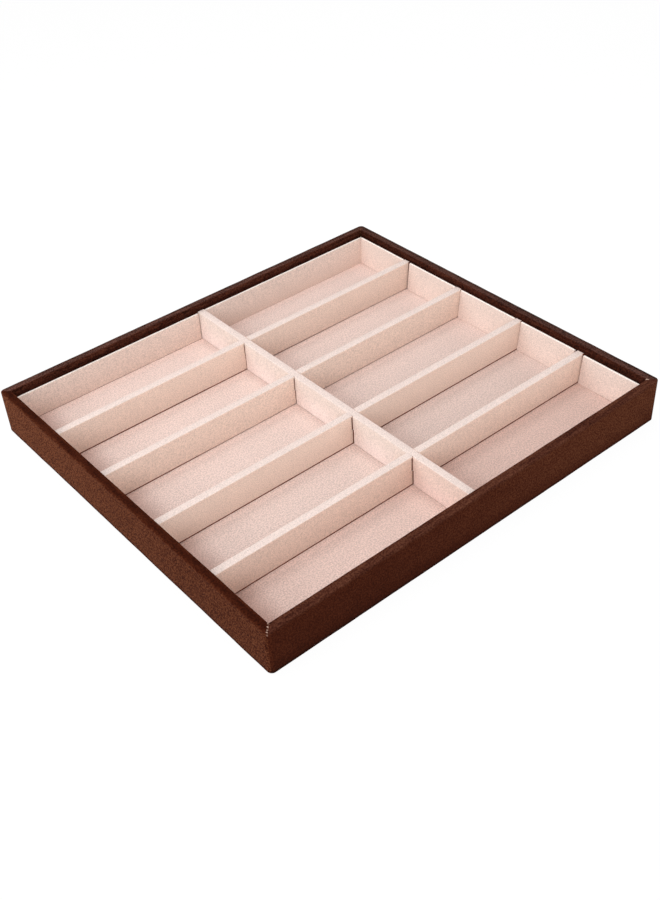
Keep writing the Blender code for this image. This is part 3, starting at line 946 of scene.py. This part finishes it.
class TRAY_OT_divider_covers(bpy.types.Operator):
    """Folds suede over each divider board and slots it where the dividers lap"""

    bl_idname = "tray.divider_covers"
    bl_label = "Divider covers"

    # How wide the lap gap is at some cross dividers, as a share of the usual gap
    GAP_SHARES = {"cross_divider_1": 1.6, "cross_divider_2": 1.6, "cross_divider_4": 0.8}

    def execute(self, context):
        cloth = context.scene.tray_cloth
        for divider, body in DIVIDER_BODIES.items():
            node = f"{divider}_cover"
            axis = Y if divider == "long_divider" else X
            cover = self.fold_cover(f"{divider}_suede", node, axis, cloth)
            for low, high in self.slots(divider, cloth):
                slot = start_block("slot", low, high)
                apply_modifier(cover, "BOOLEAN", object=slot, operation="DIFFERENCE", solver="EXACT")
                bpy.data.objects.remove(slot)
            pile = self.cross_pile if axis == X else self.long_pile
            finish_piece(cover, [shared(pile.__name__, pile)], node, body)
            low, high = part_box(node)
        return {"FINISHED"}

    @staticmethod
    def cross_pile():
        """Suede with brown painted shade at its foot, next to the long divider and behind the liner at its
        right.
        """
        cloth = bpy.context.scene.tray_cloth
        behind_liner = (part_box("right_liner_1")[0].x + SLIT_START, CROSS_HIGH.x + SLIT_START)
        at_long = (LONG_LOW.x - SLIT_START, LONG_LOW.x + SLIT_DEPTH)
        foot = CROSS_LOW.z + cloth.cross_lift + cloth.raw_foot
        pile = ("cross_foot", "cross_head", "suede_edge")
        bands = [at_long, behind_liner]
        return suede("cross_pile", pile, light=cross_light, warmth=(0.35, 0), foot=foot, shaded=bands)

    @staticmethod
    def long_pile():
        """Suede with brown painted shade next to each cross divider."""
        pile = ("long_foot", "long_head", "suede_edge")
        return suede("long_pile", pile, light=long_light, warmth=(1, 1), axis=Y, shaded=cross_bands())

    @staticmethod
    def fold_cover(name, node, axis, cloth):
        """An upside-down U of suede, open below and at its ends."""
        low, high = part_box(node)
        foot = low.z + (cloth.cross_lift if axis == X else 0)
        cover = start_block(name, Vector((low.x, low.y, foot)), high)
        bpy.ops.object.mode_set(mode="EDIT")
        ends = (low[axis], high[axis])
        choose("FACE", lambda face: is_at(face, Z, foot) or any(is_at(face, axis, end) for end in ends))
        bpy.ops.mesh.delete(type="FACE")
        choose("EDGE", lambda edge: is_at(edge, Z, high.z) and runs_along(edge, axis))
        bpy.ops.mesh.bevel(offset=cloth.cover_fold, segments=FOLD_STEPS, affect="EDGES")
        refine_along(axis, STEP_LENGTH)
        bpy.ops.object.mode_set(mode="OBJECT")
        ripple(cover, cloth.taut)
        apply_modifier(cover, "SOLIDIFY", thickness=cloth.thickness, offset=-1, use_even_offset=True)
        return cover

    def slots(self, divider, cloth):
        """Boxes to cut away: over the lap in a cross divider, and under it in the long one."""
        over = 2 * cloth.seat_gap
        touch = cloth.lap_touch
        gaps = {cross: cloth.lap_gap * self.GAP_SHARES.get(cross, 1) for cross in CROSS_DIVIDERS}
        if divider in gaps:
            low = Vector((LONG_LOW.x - gaps[divider], LONG_LOW.y, LAP_HEIGHT - cloth.seat_gap / 2))
            lip = LONG_HIGH.z - cloth.lap_lip
            lower = (low, Vector((LONG_HIGH.x + touch, LONG_HIGH.y, lip)))
            start = Vector((LONG_LOW.x - touch / 4, LONG_LOW.y, lip - touch))
            return [lower, (start, Vector((LONG_HIGH.x + touch / 4, LONG_HIGH.y, LONG_HIGH.z + over)))]
        boxes = []
        for cross, gap in gaps.items():
            low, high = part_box(f"{cross}_cover")
            start = Vector((LONG_LOW.x - over, low.y - gap, low.z - over))
            end = Vector((LONG_HIGH.x + over, high.y + touch, LAP_HEIGHT + cloth.seat_gap / 2))
            boxes.append((start, end))
        return boxes


class TRAY_OT_underside_felt(bpy.types.Operator):
    """Lays the thin felt that hides the turned-in margins below"""

    bl_idname = "tray.underside_felt"
    bl_label = "Underside felt"

    def execute(self, context):
        cloth = context.scene.tray_cloth
        low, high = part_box("underside_cover")
        felt = start_block("underside_felt_sheet", low, high)
        bpy.ops.object.mode_set(mode="EDIT")
        choose("EDGE", is_upright)
        bpy.ops.mesh.bevel(offset=cloth.corner, segments=CORNER_STEPS, affect="EDGES")
        bpy.ops.object.mode_set(mode="OBJECT")
        finish_piece(felt, [underside_felt()], "underside_cover", "tray")
        return {"FINISHED"}


class TRAY_OT_bare_boards(bpy.types.Operator):
    """Gives the boards of the walls, the base and the dividers their bare surfaces"""

    bl_idname = "tray.bare_boards"
    bl_label = "Bare boards"

    def execute(self, context):
        colours = context.scene.tray_colours
        wood = pressed_board("fibreboard", colours.board)
        card = pressed_board("greyboard", colours.core)
        for name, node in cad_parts.items():
            if name.endswith("_board"):
                node.data.materials.clear()
                node.data.materials.append(wood)
            elif name.endswith("_core"):
                node.data.materials.clear()
                node.data.materials.append(card)
        return {"FINISHED"}


class TRAY_OT_stage(bpy.types.Operator):
    """Makes the floor, the sky, the lamps and the camera"""

    bl_idname = "tray.stage"
    bl_label = "Stage"

    # Each lamp's place, its watts and the length of its sides
    LAMPS = {
        "overhead": (Vector((0.05, 0.25, 1.4)), 11.5, 0.9),
        "front": (Vector((0.1, -1.4, 0.45)), 3.95, 0.7),
        "left": (Vector((-1.4, 0, 0.45)), 7.15, 0.7),
        "left_front": (Vector((-0.95, -0.75, 0.75)), 4.25, 0.7),
        "near_left": (Vector((-0.6, 0.45, 0.5)), 1.4, 0.4),
        "front_right": (Vector((0.55, -0.75, 0.4)), 0.92, 0.4),
    }

    def execute(self, context):
        stage = context.scene.tray_stage
        self.make_camera(context, stage)
        self.make_floor(stage)
        middle = (CAD_LOW + CAD_HIGH) / 2
        for name, (place, watts, side) in self.LAMPS.items():
            turn = (middle - place).to_track_quat("-Z", "Y").to_euler()
            bpy.ops.object.light_add(type="AREA", location=place, rotation=turn)
            lamp = context.object
            lamp.name = f"{name}_lamp"
            lamp.data.energy = watts * stage.lamps
            lamp.data.size = side
        self.make_sky(context, stage)
        context.scene.view_settings.view_transform = "Standard"
        return {"FINISHED"}

    @staticmethod
    def make_camera(context, stage):
        bpy.ops.object.camera_add(location=stage.place, rotation=stage.turn)
        camera = context.object
        camera.name = "picture_camera"
        camera.data.lens = stage.lens
        context.scene.camera = camera

    @staticmethod
    def make_floor(stage):
        """A white floor that the camera sees as white but for the tray's faint shadow."""
        bpy.ops.object.select_all(action="DESELECT")
        bpy.ops.mesh.primitive_plane_add(size=stage.floor)
        floor = bpy.context.object
        floor.name = "studio_floor"
        material, shader = new_material("studio_floor")
        seen = looked_at(shader)
        plain = shader.node("ShaderNodeBsdfDiffuse", None, {"Color": (0.8, 0.8, 0.8, 1)})
        glow = {"Color": (1, 1, 1, 1), "Strength": stage.floor_white}
        white = shader.node("ShaderNodeEmission", None, glow)
        surface = shader.node("ShaderNodeMixShader", None, {0: stage.floor_glow * seen, 1: plain, 2: white})
        shader.node("ShaderNodeOutputMaterial", None, {"Surface": surface})
        floor.data.materials.append(material)

    @staticmethod
    def make_sky(context, stage):
        """An even sky, white where it is looked at."""
        world = bpy.data.worlds.new("studio_sky")
        context.scene.world = world
        shader = Shader(world)
        strength = stage.fill + (1 - stage.fill) * looked_at(shader)
        sky = shader.node("ShaderNodeBackground", None, {"Color": (1, 1, 1, 1), "Strength": strength})
        shader.node("ShaderNodeOutputWorld", None, {"Surface": sky})


def looked_at(shader):
    """1 for a ray that the camera sends, straight or by way of metal or glass."""
    path = shader.node("ShaderNodeLightPath", output="Is Camera Ray")
    outputs = path.socket.node.outputs
    glossy, through = (Term(shader, outputs[name]) for name in ("Is Glossy Ray", "Is Transmission Ray"))
    return path.most(glossy).most(through)


def shared(name, make):
    """A material that several pieces use, made when it is first asked for."""
    return bpy.data.materials.get(name) or make()


class TRAY_PT_sidebar(bpy.types.Panel):
    """Lists what can be made and the sizes and colours that it is made with"""

    bl_label = "Sunglasses tray"
    bl_space_type = "VIEW_3D"
    bl_region_type = "UI"
    bl_category = "Tray"

    def draw(self, context):
        for step in STEPS:
            self.layout.operator(step.bl_idname)
        for name, group in GROUPS.items():
            box = self.layout.box()
            for setting in group.__annotations__:
                box.prop(getattr(context.scene, name), setting)


GROUPS = {"tray_cloth": TrayCloth, "tray_colours": TrayColours, "tray_stage": TrayStage}
STEPS = (
    TRAY_OT_stage,
    TRAY_OT_bare_boards,
    TRAY_OT_underside_felt,
    TRAY_OT_microfibre_strips,
    TRAY_OT_suede_floor,
    TRAY_OT_suede_liners,
    TRAY_OT_divider_covers,
)


def register():
    for name, group in GROUPS.items():
        bpy.utils.register_class(group)
        setattr(bpy.types.Scene, name, bpy.props.PointerProperty(type=group))
    for kind in (*STEPS, TRAY_PT_sidebar):
        bpy.utils.register_class(kind)


def unregister():
    for kind in (*STEPS, TRAY_PT_sidebar):
        bpy.utils.unregister_class(kind)
    for name, group in GROUPS.items():
        delattr(bpy.types.Scene, name)
        bpy.utils.unregister_class(group)


def main():
    register()
    for step in STEPS:
        family, name = step.bl_idname.split(".")
        getattr(getattr(bpy.ops, family), name)()


if __name__ == "__main__":
    main()
